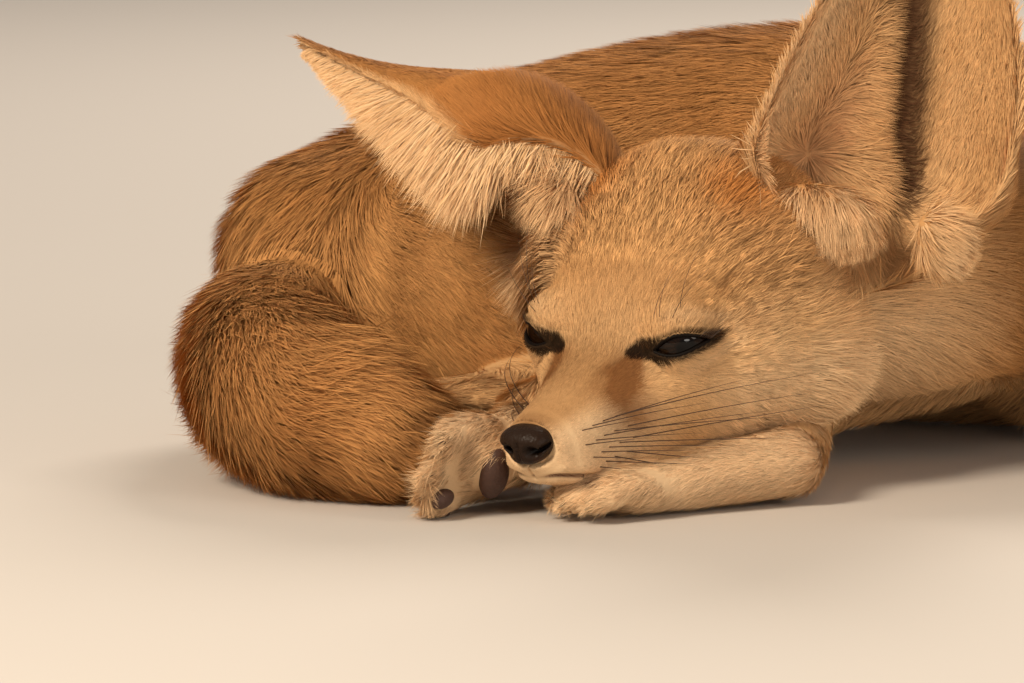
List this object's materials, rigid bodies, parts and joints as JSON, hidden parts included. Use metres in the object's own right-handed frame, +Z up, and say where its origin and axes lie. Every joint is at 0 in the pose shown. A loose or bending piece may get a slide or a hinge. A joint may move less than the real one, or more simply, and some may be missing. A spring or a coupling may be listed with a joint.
{
  "type": "fennec fox",
  "caption": "Life-size fennec fox lying curled with its chin on its forepaws, one large ear upright and the other laid to the side, and a bushy dark-tipped tail.",
  "frame": {"origin": "middle of the base of the bounding box, on the floor", "axes": "+Z up; the head is at the -Y side with its face towards -Y and a little -X; the trunk curls round behind it from +X to -X and the tail comes round the -X side"},
  "size_m": [0.2556, 0.2292, 0.1563],
  "materials": {
    "sand": "short dense fur, sandy orange",
    "cream": "short pale fur",
    "rust": "long bushy fur, rusty",
    "dark": "long bushy fur, near black",
    "eye": "wet, very dark brown",
    "nose": "damp, dark"
  },
  "bodies": {
    "root": {"eye_left": "eye", "eye_right": "eye", "nose": "nose", "head": "cream", "chest": "sand", "belly": "sand", "rump": "sand", "neck": "sand", "thigh_right": "sand", "thigh_left": "sand", "shank_right": "sand", "shank_left": "sand", "foot_right": "cream", "foot_left": "cream", "paw_left": "cream", "paw_right": "cream", "forearm_left": "cream", "forearm_right": "cream", "upper_arm_left": "sand", "upper_arm_right": "sand", "ear_left": "cream", "ear_right": "cream", "tail_root": "rust", "tail_middle": "rust", "tail_tip": "dark"}
  },
  "joints": []
}
